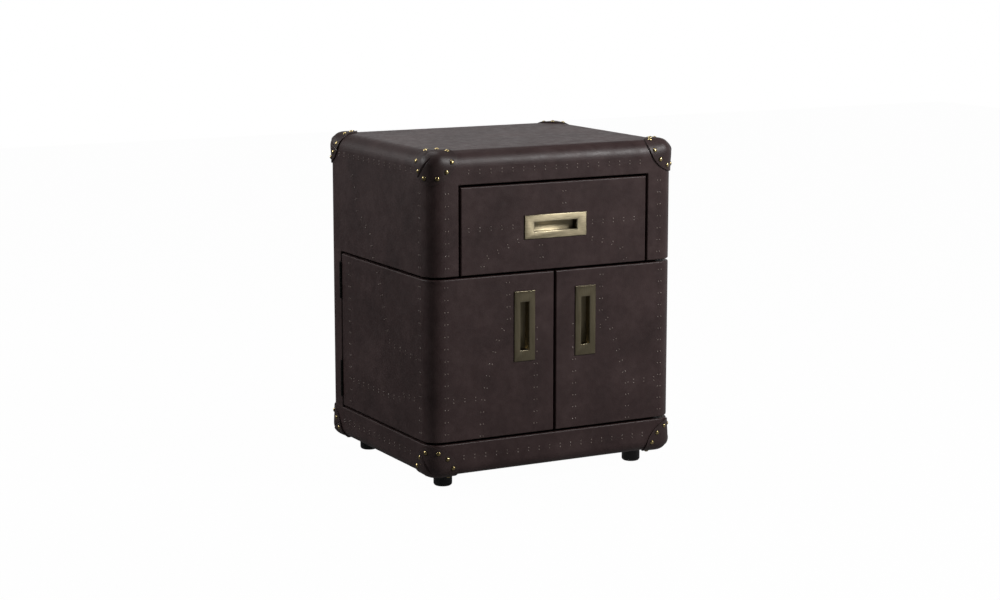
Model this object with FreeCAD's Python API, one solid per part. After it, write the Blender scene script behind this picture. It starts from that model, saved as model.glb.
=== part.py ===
# Leather-covered trunk nightstand: a rounded case on four short feet, one drawer on
# ball-bearing runners, and two doors that wrap round the front corners and carry the
# case's sides with them.
# Millimetres. The origin is on the floor under the middle of the case, +Z is up, and
# the front faces -Y. Left is -X, as seen from the front.
import os
import FreeCAD
import Part
import math

os.makedirs("parts", exist_ok=True)
V = FreeCAD.Vector

# Case
WIDTH = 508.0
DEPTH = 432.0
HEIGHT = 610.0
CORNER_RADIUS = 32.0
TOP_EDGE_RADIUS = 28.0
BASE_EDGE_RADIUS = 20.0
PANEL_EDGE_RADIUS = 2.0
LEATHER = 1.6
BASE_HEIGHT = 60.0
REVEAL = 4.5
REAR_STILE = 57.75
STILE_WIDTH = 59.5
DRAWER_OPENING_HEIGHT = 161.0
TOP_RAIL_HEIGHT = 59.4

# Boards
SIDE_BOARD = 18.0
FRONT_BOARD = 22.0
TOP_BOARD = 18.0
POST_WIDTH = 40.0
BACK_PANEL = 8.0
BASE_RAIL = 20.0
BASE_PANEL = 12.0
CUPBOARD_FLOOR = 12.0
DIVIDER = 16.0
INNER_SIDE = 16.0
INNER_SIDE_CLEARANCE = 3.4

# Feet
FOOT_HEIGHT = 28.0
FOOT_DIAMETER = 34.0
FOOT_EDGE_RADIUS = 5.0
FOOT_SIDE_INSET = 55.0
FOOT_FRONT_INSET = 58.0

# Doors
DOOR_BOARD = 20.0
DOOR_MEETING_GAP = 5.0
CORNER_POST_LEG = 42.0
DOOR_PULL_OFFSET = 63.0
DOOR_PULL_DROP = 95.1

# Drawer
DRAWER_BOARD = 20.0
DRAWER_SIDE = 12.0
DRAWER_BOTTOM = 6.0
DRAWER_BOTTOM_RISE = 8.0
DRAWER_BOX_HEIGHT = 110.0
DRAWER_REAR_CLEARANCE = 70.8
DRAWER_BOX_LIFT = 8.0

# Runners
RUNNER_HEIGHT = 45.0
RUNNER_DEPTH = 12.7
RUNNER_SETBACK = 2.4
RUNNER_REAR_SETBACK = 25.6
RUNNER_METAL = 1.2
RUNNER_CLEARANCE = 0.3
RUNNER_STILE_CLEARANCE = 0.5
RUNNER_FLANGE = 9.5

# Flush pulls
PULL_LENGTH = 128.0
PULL_WIDTH = 43.0
PULL_PLATE = 2.0
PULL_PLATE_RADIUS = 1.5
PULL_BEVEL = 0.8
PULL_CUP_LENGTH = 88.0
PULL_CUP_WIDTH = 18.0
PULL_CUP_DEPTH = 13.0
PULL_CUP_WALL = 1.2
PULL_CUP_RADIUS = 1.5

# Corner caps and their nails
CAP_LEATHER = 2.2
CAP_REACH = 58.0
CAP_CORNER_RADIUS = 28.0
CAP_TOP_RADIUS = 22.0
CAP_BASE_RADIUS = 15.0
NAIL_RING = 49.0
NAIL_EDGE_ANGLE = 21.0
NAIL_HEAD_DIAMETER = 7.0
NAIL_HEAD_HEIGHT = 2.2
NAIL_SHANK_DIAMETER = 1.6
NAIL_LENGTH = 12.0

# Hinges
HINGE_HEIGHT = 68.0
UPPER_HINGE_DROP = 50.1
LOWER_HINGE_RISE = 52.0
HINGE_KNUCKLES = 7
HINGE_KNUCKLE_DIAMETER = 5.8
HINGE_KNUCKLE_GAP = 0.3
HINGE_LEAF = 2.0
HINGE_LEAF_WIDTH = 18.0
HINGE_STAND_OUT = 1.2
HINGE_PIN_DIAMETER = 2.6
HINGE_PIN_CLEARANCE = 0.08
HINGE_PIN_HEAD = 1.2
HINGE_PIN_HEAD_DIAMETER = 4.6
SCREWS_PER_LEAF = 3
SCREW_DIAMETER = 2.4
SCREW_HEAD_DIAMETER = 4.8
SCREW_HEAD_HEIGHT = 1.2
SCREW_LENGTH = 13.0

# Magnetic catches
CATCH_WIDTH = 28.0
CATCH_HEIGHT = 12.0
CATCH_DEPTH = 20.0
CATCH_OFFSET = 36.0
CATCH_GAP = 0.4
CATCH_BEVEL = 1.0
STRIKE_WIDTH = 24.0
STRIKE_HEIGHT = 22.0
STRIKE_METAL = 1.2

# One overrun carries every cut past the faces it goes through
OVERRUN = 5.0

# Levels and planes that the pieces share
base_top = FOOT_HEIGHT + BASE_HEIGHT
opening_top = HEIGHT - TOP_RAIL_HEIGHT
upper_bottom = opening_top - DRAWER_OPENING_HEIGHT
door_bottom = base_top + REVEAL
door_top = upper_bottom - REVEAL
case_right = WIDTH / 2
case_rear = DEPTH / 2
stile_front = case_rear - REAR_STILE
door_rear = stile_front - REVEAL
opening_half = case_right - STILE_WIDTH
top_underside = HEIGHT - LEATHER - TOP_BOARD
side_inner = case_right - LEATHER - SIDE_BOARD
front_inner = case_rear - LEATHER - FRONT_BOARD
post_inner = case_right - LEATHER - POST_WIDTH
back_inner = case_rear - LEATHER - BACK_PANEL
base_inner_x = case_right - LEATHER - BASE_RAIL
base_inner_y = case_rear - LEATHER - BASE_RAIL
door_thickness = LEATHER + DOOR_BOARD
door_inner_x = case_right - door_thickness
door_inner_y = case_rear - door_thickness
inner_side_outer = door_inner_x - INNER_SIDE_CLEARANCE
inner_side_front = door_inner_y - INNER_SIDE_CLEARANCE


def save(node, shape):
    shape.exportStep("parts/" + node + ".step")


def group(shapes):
    return Part.makeCompound(shapes)


def box(x0, x1, y0, y1, z0, z1):
    return Part.makeBox(x1 - x0, y1 - y0, z1 - z0, V(x0, y0, z0))


def mirrored(shape):
    return shape.mirror(V(0, 0, 0), V(1, 0, 0))


def is_near(value, target):
    return abs(value - target) < PANEL_EDGE_RADIUS / 100


def ends(edge):
    return [vertex.Point for vertex in edge.Vertexes]


def level(edge, height):
    return all(is_near(point.z, height) for point in ends(edge))


def upright(edge):
    first, last = ends(edge)[0], ends(edge)[-1]
    return abs(first.z - last.z) > abs(first.x - last.x) + abs(first.y - last.y)


def rounded_block(inset, corner, top_edge, bottom_edge, low, high):
    """A block of the case's plan, inset on every side, with its edges rounded."""
    half_x = case_right - inset
    half_y = case_rear - inset
    block = box(-half_x, half_x, -half_y, half_y, low, high)
    block = block.makeFillet(corner, [edge for edge in block.Edges if upright(edge)])
    if top_edge:
        block = block.makeFillet(top_edge, [edge for edge in block.Edges if level(edge, high)])
    if bottom_edge:
        block = block.makeFillet(bottom_edge, [edge for edge in block.Edges if level(edge, low)])
    return block


def on_plan(point, inset):
    """Whether a point stands on the rounded outline of the case's plan."""
    radius = CORNER_RADIUS - inset
    reach_x = abs(point.x) - (case_right - inset - radius)
    reach_y = abs(point.y) - (case_rear - inset - radius)
    if reach_x > 0 and reach_y > 0:
        return is_near(math.hypot(reach_x, reach_y), radius)
    return is_near(reach_x, radius) or is_near(reach_y, radius)


def case_solid(inset):
    """The fixed case as one solid: base, rear stiles and upper case, with the doors' space cut."""
    solid = rounded_block(inset, CORNER_RADIUS - inset, TOP_EDGE_RADIUS - inset,
                          BASE_EDGE_RADIUS - inset, FOOT_HEIGHT + inset, HEIGHT - inset)
    doors = box(-WIDTH, WIDTH, -DEPTH, stile_front + inset, base_top - inset, upper_bottom + inset)
    half = opening_half + inset
    drawer = box(-half, half, -DEPTH, -front_inner, base_top, opening_top + inset)
    return solid.cut(doors).cut(drawer)


def round_case_openings(solid):
    """Rounds the edges where the doors' space and the drawer's opening meet the outside."""
    chosen = []
    for edge in solid.Edges:
        points = ends(edge) + [edge.valueAt((edge.FirstParameter + edge.LastParameter) / 2)]
        outside = all(on_plan(point, 0) for point in points)
        at_doors = (level(edge, base_top) or level(edge, upper_bottom)
                    or all(is_near(point.y, stile_front) for point in points))
        at_drawer = (all(is_near(point.y, -case_rear) for point in points)
                     and (level(edge, opening_top)
                          or all(is_near(abs(point.x), opening_half) for point in points)))
        if outside and (at_doors or at_drawer):
            chosen.append(edge)
    return solid.makeFillet(PANEL_EDGE_RADIUS, chosen)


def nail_spots(side_x, side_y, cap_top):
    """Where the nails of one cap stand: pairs of a point on the cap and its outward normal."""
    radius_z = CAP_TOP_RADIUS if cap_top else CAP_BASE_RADIUS
    corner = [case_right + CAP_LEATHER, case_rear + CAP_LEATHER]
    sign = [side_x, side_y, 1 if cap_top else -1]
    corner.append((HEIGHT if cap_top else FOOT_HEIGHT) + sign[2] * CAP_LEATHER)
    spots = []
    for face in range(3):
        first, second = (face + 1) % 3, (face + 2) % 3
        for angle in (NAIL_EDGE_ANGLE, 45, 90 - NAIL_EDGE_ANGLE):
            inset = [0, 0, 0]
            inset[first] = NAIL_RING * math.cos(math.radians(angle))
            inset[second] = NAIL_RING * math.sin(math.radians(angle))
            normal = [0, 0, 0]
            normal[face] = 1
            for other in (first, second):
                radius = CAP_CORNER_RADIUS if 2 not in (face, other) else radius_z
                if inset[other] < radius:
                    lean = math.asin((radius - inset[other]) / radius)
                    normal[other] = math.sin(lean)
                    normal[face] = math.cos(lean)
                    inset[face] = radius * (1 - math.cos(lean))
            point = V(sign[0] * (corner[0] - inset[0]), sign[1] * (corner[1] - inset[1]),
                      corner[2] - sign[2] * inset[2])
            spots.append((point, V(*[s * n for s, n in zip(sign, normal)])))
    return spots


def nail(point, normal):
    """A nail with a low domed head, driven square to the cap."""
    head_radius = NAIL_HEAD_DIAMETER / 2
    dome = (head_radius ** 2 + NAIL_HEAD_HEIGHT ** 2) / (2 * NAIL_HEAD_HEIGHT)
    ball = Part.makeSphere(dome, V(0, 0, NAIL_HEAD_HEIGHT - dome))
    head = ball.common(Part.makeCylinder(NAIL_HEAD_DIAMETER, NAIL_HEAD_HEIGHT))
    shank = Part.makeCylinder(NAIL_SHANK_DIAMETER / 2, NAIL_LENGTH, V(0, 0, -NAIL_LENGTH))
    solid = head.fuse(shank)
    solid.Placement = FreeCAD.Placement(point, FreeCAD.Rotation(V(0, 0, 1), normal))
    return solid


def nail_hole(point, normal):
    return Part.makeCylinder(NAIL_SHANK_DIAMETER / 2, NAIL_LENGTH, point, normal * -1)


CORNERS = [("front_left", -1, -1), ("front_right", 1, -1), ("rear_left", -1, 1), ("rear_right", 1, 1)]

case_outer = round_case_openings(case_solid(0))
case_wood = case_solid(LEATHER)

top_spots = [spot for _, sx, sy in CORNERS for spot in nail_spots(sx, sy, True)]
base_spots = [spot for _, sx, sy in CORNERS for spot in nail_spots(sx, sy, False)]
nail_holes = group([nail_hole(*spot) for spot in top_spots + base_spots])


def board(x0, x1, y0, y1, z0, z1):
    """A board of the case, cut to the rounded outline under the leather, with its nail holes."""
    return case_wood.common(box(x0, x1, y0, y1, z0, z1)).cut(nail_holes)


def screw(point, direction):
    """A countersunk screw whose flat head lies at the point, driven along the direction."""
    head = Part.makeCone(SCREW_HEAD_DIAMETER / 2, SCREW_DIAMETER / 2, SCREW_HEAD_HEIGHT, point, direction)
    shank = Part.makeCylinder(SCREW_DIAMETER / 2, SCREW_LENGTH, point, direction)
    return head.fuse(shank)


# Hinges: the axis stands just outside the case's side, in the middle of the rear gap
hinge_x = case_right + HINGE_STAND_OUT
hinge_y = (stile_front + door_rear) / 2
hinge_centres = [door_top - UPPER_HINGE_DROP, door_bottom + LOWER_HINGE_RISE]
knuckle_pitch = HINGE_HEIGHT / HINGE_KNUCKLES
knuckle_radius = HINGE_KNUCKLE_DIAMETER / 2
leaf_inner = case_right - HINGE_LEAF_WIDTH
leaf_screw_x = case_right - HINGE_LEAF_WIDTH / 2


def hinge_leaf(centre, on_case):
    """One leaf of the right-hand hinge with its share of the knuckles."""
    low = centre - HINGE_HEIGHT / 2
    near, far = (stile_front - HINGE_LEAF, stile_front) if on_case else (door_rear, door_rear + HINGE_LEAF)
    leaf = box(leaf_inner, hinge_x, near, far, low, low + HINGE_HEIGHT)
    barrels = []
    for index in range(HINGE_KNUCKLES):
        start = low + index * knuckle_pitch
        foot = V(hinge_x, hinge_y, start)
        if (index % 2 == 0) == on_case:
            lift = V(0, 0, HINGE_KNUCKLE_GAP / 2)
            barrels.append(Part.makeCylinder(knuckle_radius, knuckle_pitch - HINGE_KNUCKLE_GAP, foot + lift))
        else:
            leaf = leaf.cut(Part.makeCylinder(knuckle_radius + HINGE_KNUCKLE_GAP, knuckle_pitch, foot))
    bore = Part.makeCylinder(HINGE_PIN_DIAMETER / 2 + HINGE_PIN_CLEARANCE, HINGE_HEIGHT + OVERRUN,
                             V(hinge_x, hinge_y, low - OVERRUN / 2))
    return leaf.multiFuse(barrels).removeSplitter().cut(bore)


def hinge_pin(centre):
    """A straight pin with a flat head at each end of the knuckles."""
    low = centre - HINGE_HEIGHT / 2
    pin = Part.makeCylinder(HINGE_PIN_DIAMETER / 2, HINGE_HEIGHT, V(hinge_x, hinge_y, low))
    head_radius = HINGE_PIN_HEAD_DIAMETER / 2
    heads = [Part.makeCylinder(head_radius, HINGE_PIN_HEAD, V(hinge_x, hinge_y, low - HINGE_PIN_HEAD)),
             Part.makeCylinder(head_radius, HINGE_PIN_HEAD, V(hinge_x, hinge_y, low + HINGE_HEIGHT))]
    return pin.multiFuse(heads)


def leaf_screws(centre, on_case):
    """The screws of one leaf, flush with its face, driven into the stile or the door."""
    face = stile_front - HINGE_LEAF if on_case else door_rear + HINGE_LEAF
    direction = V(0, 1 if on_case else -1, 0)
    heights = [centre + HINGE_HEIGHT * ((index + 0.5) / SCREWS_PER_LEAF - 0.5)
               for index in range(SCREWS_PER_LEAF)]
    return [screw(V(leaf_screw_x, face, height), direction) for height in heights]


case_screws = [part for centre in hinge_centres for part in leaf_screws(centre, True)]
door_screws = [part for centre in hinge_centres for part in leaf_screws(centre, False)]
case_leaves = group([hinge_leaf(centre, True) for centre in hinge_centres]).cut(group(case_screws))
door_leaves = group([hinge_leaf(centre, False) for centre in hinge_centres]).cut(group(door_screws))
pins = [hinge_pin(centre) for centre in hinge_centres]
both_case_screws = group(case_screws + [mirrored(part) for part in case_screws])

# Upper case
save("top_board", board(-case_right, case_right, -case_rear, case_rear, top_underside, HEIGHT))
upper_side = board(side_inner, case_right, -front_inner, stile_front + LEATHER, upper_bottom, top_underside)
save("upper_side_right", upper_side)
save("upper_side_left", mirrored(upper_side))
front_stile = board(opening_half, case_right, -case_rear, -front_inner, upper_bottom, top_underside)
save("front_stile_right", front_stile)
save("front_stile_left", mirrored(front_stile))
rail_half = opening_half + LEATHER
save("top_rail", board(-rail_half, rail_half, -case_rear, -front_inner, opening_top, top_underside)
     .cut(group([front_stile, mirrored(front_stile)])))

# Rear posts and back
rear_post = board(post_inner, case_right, stile_front + LEATHER, case_rear, base_top - LEATHER, top_underside)
rear_post = rear_post.cut(both_case_screws)
save("rear_post_right", rear_post)
save("rear_post_left", mirrored(rear_post))
back_panel = board(-post_inner, post_inner, back_inner, case_rear, base_top - LEATHER, top_underside)
save("back_panel", back_panel)
both_posts = group([rear_post, mirrored(rear_post)])
divider = box(-side_inner, side_inner, -front_inner, back_inner, upper_bottom, upper_bottom + DIVIDER)
save("divider_board", divider.cut(both_posts))

# Base
rail_top = base_top - LEATHER
front_rail = board(-case_right, case_right, -case_rear, -base_inner_y, FOOT_HEIGHT, rail_top)
rear_rail = board(-case_right, case_right, base_inner_y, case_rear, FOOT_HEIGHT, rail_top)
side_rail = board(base_inner_x, case_right, -base_inner_y, base_inner_y, FOOT_HEIGHT, rail_top)
save("base_frame", group([front_rail, rear_rail, side_rail, mirrored(side_rail)]))
base_panel = box(-base_inner_x, base_inner_x, -base_inner_y, base_inner_y,
                 FOOT_HEIGHT, FOOT_HEIGHT + BASE_PANEL)
save("base_bottom_panel", base_panel.common(case_outer).cut(nail_holes))
cupboard_floor = box(-base_inner_x, base_inner_x, -base_inner_y, base_inner_y,
                     base_top - CUPBOARD_FLOOR, base_top)
save("cupboard_floor", cupboard_floor.cut(group([both_posts, back_panel])))

# Inner sides carry the upper case inside the wrap-around doors
inner_side = box(inner_side_outer - INNER_SIDE, inner_side_outer, -inner_side_front, stile_front,
                 base_top, upper_bottom)
save("inner_side_right", inner_side)
save("inner_side_left", mirrored(inner_side))

# Leather of the fixed case: the rounded case less its boards and hollows
hollows = [
    box(-side_inner, side_inner, -front_inner, back_inner, upper_bottom, top_underside),
    box(-post_inner, post_inner, stile_front, back_inner, base_top - CUPBOARD_FLOOR, upper_bottom),
    box(-base_inner_x, base_inner_x, -base_inner_y, base_inner_y, FOOT_HEIGHT, base_top),
]
leather = case_outer.cut(case_wood).cut(group([both_posts, back_panel]))
for hollow in hollows:
    leather = leather.cut(hollow)
leather = leather.cut(group([nail_holes, both_case_screws]))
everywhere = (-WIDTH, WIDTH, -DEPTH, DEPTH)
save("upper_leather", leather.common(box(*everywhere, upper_bottom, HEIGHT)))
save("rear_leather", leather.common(box(*everywhere, base_top, upper_bottom)))
save("base_leather", leather.common(box(*everywhere, FOOT_HEIGHT, base_top)))

# Feet
foot_radius = FOOT_DIAMETER / 2
foot_x = case_right - FOOT_SIDE_INSET
foot_y = case_rear - FOOT_FRONT_INSET
feet = []
for _, sx, sy in CORNERS:
    foot = Part.makeCylinder(foot_radius, FOOT_HEIGHT, V(sx * foot_x, sy * foot_y, 0))
    feet.append(foot.makeFillet(FOOT_EDGE_RADIUS, [edge for edge in foot.Edges if level(edge, 0)]))
save("feet", group(feet))


def corner_cap(side_x, side_y, cap_top):
    """A leather cap moulded over one corner, fuller than the corner and cut to a round edge."""
    low, high = FOOT_HEIGHT - CAP_LEATHER, HEIGHT + CAP_LEATHER
    block = rounded_block(-CAP_LEATHER, CAP_CORNER_RADIUS, CAP_TOP_RADIUS, CAP_BASE_RADIUS, low, high)
    tip = V(side_x * case_right, side_y * case_rear, HEIGHT if cap_top else FOOT_HEIGHT)
    return block.common(Part.makeSphere(CAP_REACH, tip)).cut(case_outer)


for cap_top, place in ((True, "top"), (False, "base")):
    for name, sx, sy in CORNERS:
        holes = group([nail_hole(*spot) for spot in nail_spots(sx, sy, cap_top)])
        save(place + "_cap_" + name, corner_cap(sx, sy, cap_top).cut(holes))
save("top_cap_nails", group([nail(*spot) for spot in top_spots]))
save("base_cap_nails", group([nail(*spot) for spot in base_spots]))

# Hinges on the case
save("hinge_case_leaves", group([case_leaves, mirrored(case_leaves)]))
save("hinge_pins", group(pins + [mirrored(part) for part in pins]))
save("hinge_case_screws", both_case_screws)


def flush_pull():
    """A flush pull lying along X on the plane y = 0: a bevelled plate with a cup behind it."""
    half_x, half_z = PULL_LENGTH / 2, PULL_WIDTH / 2
    plate = box(-half_x, half_x, -PULL_PLATE, 0, -half_z, half_z)
    across = [edge for edge in plate.Edges if abs(ends(edge)[0].y - ends(edge)[1].y) > PULL_PLATE / 2]
    plate = plate.makeFillet(PULL_PLATE_RADIUS, across)
    front = [edge for edge in plate.Edges if all(is_near(point.y, -PULL_PLATE) for point in ends(edge))]
    plate = plate.makeChamfer(PULL_BEVEL, front)
    return plate.fuse(pull_cup(PULL_CUP_WALL, 0)).cut(pull_cup(0, PULL_PLATE + OVERRUN))


def pull_cup(wall, out):
    """The cup of a flush pull, or its hollow, from the plane y = -out to its floor."""
    half_x = PULL_CUP_LENGTH / 2 + wall
    half_z = PULL_CUP_WIDTH / 2 + wall
    cup = box(-half_x, half_x, -out, PULL_CUP_DEPTH + wall, -half_z, half_z)
    across = [edge for edge in cup.Edges if is_near(ends(edge)[0].x, ends(edge)[1].x)
              and is_near(ends(edge)[0].z, ends(edge)[1].z)]
    return cup.makeFillet(PULL_CUP_RADIUS + wall, across)


def placed(shape, x, z, turned):
    """Puts a pull's shape on the front at x and z, upright if it is turned."""
    shape = shape.copy()
    if turned:
        shape.rotate(V(0, 0, 0), V(0, 1, 0), 90)
    shape.translate(V(x, -case_rear, z))
    return shape


# Drawer
drawer_half = opening_half - REVEAL
drawer_top = opening_top - REVEAL
drawer_middle = (upper_bottom + drawer_top) / 2
front_back = -case_rear + LEATHER + DRAWER_BOARD
front_outer = box(-drawer_half, drawer_half, -case_rear, front_back, upper_bottom, drawer_top)
front_edges = [edge for edge in front_outer.Edges if all(is_near(point.y, -case_rear) for point in ends(edge))]
front_outer = front_outer.makeFillet(PANEL_EDGE_RADIUS, front_edges)
front_wood = box(-drawer_half + LEATHER, drawer_half - LEATHER, -case_rear + LEATHER, front_back,
                 upper_bottom + LEATHER, drawer_top - LEATHER)
drawer_cup = placed(pull_cup(PULL_CUP_WALL, 0), 0, drawer_middle, False)
save("drawer_front_board", front_wood.cut(drawer_cup))
save("drawer_leather", front_outer.cut(front_wood).cut(drawer_cup))
save("drawer_pull", placed(flush_pull(), 0, drawer_middle, False))

runner_outer = opening_half - RUNNER_STILE_CLEARANCE
drawer_box_half = runner_outer - RUNNER_DEPTH
drawer_inside_half = drawer_box_half - DRAWER_SIDE
drawer_box_low = upper_bottom + DIVIDER + DRAWER_BOX_LIFT
drawer_box_high = drawer_box_low + DRAWER_BOX_HEIGHT
drawer_box_rear = back_inner - DRAWER_REAR_CLEARANCE
drawer_side = box(drawer_inside_half, drawer_box_half, front_back, drawer_box_rear,
                  drawer_box_low, drawer_box_high)
save("drawer_side_right", drawer_side)
save("drawer_side_left", mirrored(drawer_side))
save("drawer_back", box(-drawer_inside_half, drawer_inside_half, drawer_box_rear - DRAWER_SIDE,
                        drawer_box_rear, drawer_box_low, drawer_box_high))
bottom_low = drawer_box_low + DRAWER_BOTTOM_RISE
save("drawer_bottom", box(-drawer_inside_half, drawer_inside_half, front_back,
                          drawer_box_rear - DRAWER_SIDE, bottom_low, bottom_low + DRAWER_BOTTOM))

# Runners: three channels nested one in another, the middle one travelling at half the rate
runner_centre = drawer_box_low + DRAWER_BOX_HEIGHT / 2
runner_front = -front_inner + RUNNER_SETBACK
runner_rear = drawer_box_rear - RUNNER_REAR_SETBACK
cleat = box(runner_outer, side_inner, -front_inner, stile_front + LEATHER,
            runner_centre - RUNNER_HEIGHT / 2, runner_centre + RUNNER_HEIGHT / 2)
save("slide_cleats", group([cleat, mirrored(cleat)]))


def channel(web_x, half_height, flange):
    """A channel along Y: its web starts at web_x, its flanges reach out by flange, signed."""
    outer_x = sorted((web_x, web_x + flange))
    web_end = web_x + math.copysign(RUNNER_METAL, flange)
    hollow_x = sorted((web_end, web_x + flange + math.copysign(OVERRUN, flange)))
    clear = half_height - RUNNER_METAL
    solid = box(*outer_x, runner_front, runner_rear, runner_centre - half_height, runner_centre + half_height)
    return solid.cut(box(*hollow_x, runner_front - OVERRUN, runner_rear + OVERRUN,
                         runner_centre - clear, runner_centre + clear))


nesting = RUNNER_METAL + RUNNER_CLEARANCE
outer_half = RUNNER_HEIGHT / 2
outer_channel = channel(runner_outer, outer_half, -RUNNER_FLANGE)
middle_channel = channel(runner_outer - nesting, outer_half - nesting, -RUNNER_FLANGE)
inner_channel = channel(drawer_box_half, outer_half - 2 * nesting, RUNNER_FLANGE)
save("slide_outer_members", group([outer_channel, mirrored(outer_channel)]))
save("slide_middle_members", group([middle_channel, mirrored(middle_channel)]))
save("slide_inner_members", group([inner_channel, mirrored(inner_channel)]))


def door_solid(inset):
    """The right door as one bent panel, inset under its leather on its outside and its ends."""
    low, high = door_bottom + inset, door_top - inset
    plan = rounded_block(inset, CORNER_RADIUS - inset, 0, 0, low, high)
    hollow = box(-WIDTH, door_inner_x, -door_inner_y, DEPTH, low - OVERRUN, high + OVERRUN)
    meeting = DOOR_MEETING_GAP / 2 + inset
    return plan.cut(hollow).common(box(meeting, WIDTH, -DEPTH, door_rear - inset, low, high))


def round_door(solid):
    """Rounds the door's outside edges: top, bottom, at the meeting gap and at the hinges."""
    chosen = []
    for edge in solid.Edges:
        points = ends(edge) + [edge.valueAt((edge.FirstParameter + edge.LastParameter) / 2)]
        if not all(on_plan(point, 0) for point in points):
            continue
        flat = level(edge, door_bottom) or level(edge, door_top)
        at_meeting = all(is_near(point.x, DOOR_MEETING_GAP / 2) for point in points)
        at_hinge = all(is_near(point.y, door_rear) for point in points)
        if flat or at_meeting or at_hinge:
            chosen.append(edge)
    return solid.makeFillet(PANEL_EDGE_RADIUS, chosen)


# Doors: the right one is made, the left one is its mirror image
door_wood = door_solid(LEATHER)
door_pull_height = door_top - DOOR_PULL_DROP
door_cup = placed(pull_cup(PULL_CUP_WALL, 0), DOOR_PULL_OFFSET, door_pull_height, True)
door_leather = round_door(door_solid(0)).cut(door_wood).cut(door_cup).cut(group(door_screws))
corner_x = case_right - CORNER_POST_LEG
corner_y = -case_rear + CORNER_POST_LEG
front_part = box(0, corner_x, -DEPTH, 0, 0, HEIGHT)
side_part = box(0, WIDTH, corner_y, DEPTH, 0, HEIGHT)
corner_part = box(corner_x, WIDTH, -DEPTH, corner_y, 0, HEIGHT)
strike_centre = upper_bottom - CATCH_HEIGHT / 2
strike_low = door_top - LEATHER - STRIKE_HEIGHT
strike = box(CATCH_OFFSET - STRIKE_WIDTH / 2, CATCH_OFFSET + STRIKE_WIDTH / 2,
             -door_inner_y, -door_inner_y + STRIKE_METAL, strike_low, strike_low + STRIKE_HEIGHT)
door_pieces = {
    "front_board": door_wood.common(front_part).cut(door_cup),
    "side_board": door_wood.common(side_part).cut(group(door_screws)),
    "corner_post": door_wood.common(corner_part),
    "leather": door_leather,
    "pull": placed(flush_pull(), DOOR_PULL_OFFSET, door_pull_height, True),
    "hinge_leaves": door_leaves,
    "hinge_screws": group(door_screws),
    "strike": strike,
}
for name, piece in door_pieces.items():
    save("door_right_" + name, piece)
    save("door_left_" + name, mirrored(piece))

# Magnetic catches under the divider, just behind the strikes
catch_front = -door_inner_y + STRIKE_METAL + CATCH_GAP
catch = box(CATCH_OFFSET - CATCH_WIDTH / 2, CATCH_OFFSET + CATCH_WIDTH / 2,
            catch_front, catch_front + CATCH_DEPTH, upper_bottom - CATCH_HEIGHT, upper_bottom)
catch = catch.makeChamfer(CATCH_BEVEL, [edge for edge in catch.Edges if level(edge, upper_bottom - CATCH_HEIGHT)])
save("magnet_catches", group([catch, mirrored(catch)]))
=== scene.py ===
"""Looks of a leather-covered trunk nightstand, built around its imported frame.

Everything is in metres, in the frame of the construction: the origin is on the floor under
the middle of the case, +Z is up and the front faces -Y.
"""

import json
import logging
import math
from dataclasses import dataclass, field
from enum import Enum
from typing import Callable, Iterable, Sequence

import bpy
from mathutils import Matrix, Vector

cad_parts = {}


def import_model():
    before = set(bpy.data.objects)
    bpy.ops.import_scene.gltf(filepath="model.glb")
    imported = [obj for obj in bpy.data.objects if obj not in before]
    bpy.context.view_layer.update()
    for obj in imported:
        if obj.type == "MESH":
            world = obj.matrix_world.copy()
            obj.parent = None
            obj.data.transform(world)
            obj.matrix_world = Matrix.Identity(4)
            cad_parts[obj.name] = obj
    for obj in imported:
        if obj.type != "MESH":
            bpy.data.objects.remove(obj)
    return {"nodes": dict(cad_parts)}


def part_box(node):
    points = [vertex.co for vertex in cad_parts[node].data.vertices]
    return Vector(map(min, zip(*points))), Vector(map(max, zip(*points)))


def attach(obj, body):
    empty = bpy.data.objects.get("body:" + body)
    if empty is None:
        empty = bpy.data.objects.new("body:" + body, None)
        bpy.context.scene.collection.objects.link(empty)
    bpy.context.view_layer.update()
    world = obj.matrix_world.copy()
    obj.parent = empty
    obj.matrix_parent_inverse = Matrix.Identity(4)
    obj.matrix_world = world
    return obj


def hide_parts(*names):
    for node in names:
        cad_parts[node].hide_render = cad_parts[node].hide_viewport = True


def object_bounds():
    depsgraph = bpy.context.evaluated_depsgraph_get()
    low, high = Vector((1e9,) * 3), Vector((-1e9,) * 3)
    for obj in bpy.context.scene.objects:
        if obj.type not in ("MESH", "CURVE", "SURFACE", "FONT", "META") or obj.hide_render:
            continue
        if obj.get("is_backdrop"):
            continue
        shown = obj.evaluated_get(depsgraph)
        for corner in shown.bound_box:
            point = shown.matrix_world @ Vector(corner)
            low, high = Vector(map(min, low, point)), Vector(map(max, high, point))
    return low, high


logging.basicConfig(level=logging.INFO, format="%(message)s")
LOG = logging.getLogger("nightstand")

MM = 0.001
HEAD_SMOOTHING_DEG = 60.0
Colour = tuple[float, float, float]


class Body(Enum):
    """The moving parts that carry pieces of the scene."""

    CARCASS = "carcass"
    DRAWER = "drawer"
    DOOR_LEFT = "door_left"
    DOOR_RIGHT = "door_right"


class Grain(Enum):
    """The direction in which a brushed or grained finish runs, as its stretch along each axis."""

    ALONG_X = (0.04, 1.0, 1.0)
    ALONG_Y = (1.0, 0.04, 1.0)
    ALONG_Z = (1.0, 1.0, 0.04)


# Helpers for modelling by operators


def deselect_all() -> None:
    """Leaves no object selected."""
    if bpy.context.object and bpy.context.object.mode != "OBJECT":
        bpy.ops.object.mode_set(mode="OBJECT")
    bpy.ops.object.select_all(action="DESELECT")


def select_only(obj: bpy.types.Object) -> None:
    """Selects one object and makes it the active one."""
    deselect_all()
    obj.select_set(True)
    bpy.context.view_layer.objects.active = obj


def apply_place(obj: bpy.types.Object) -> None:
    """Moves an object's place, turn and scale into its mesh."""
    select_only(obj)
    bpy.ops.object.transform_apply(location=True, rotation=True, scale=True)


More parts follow.
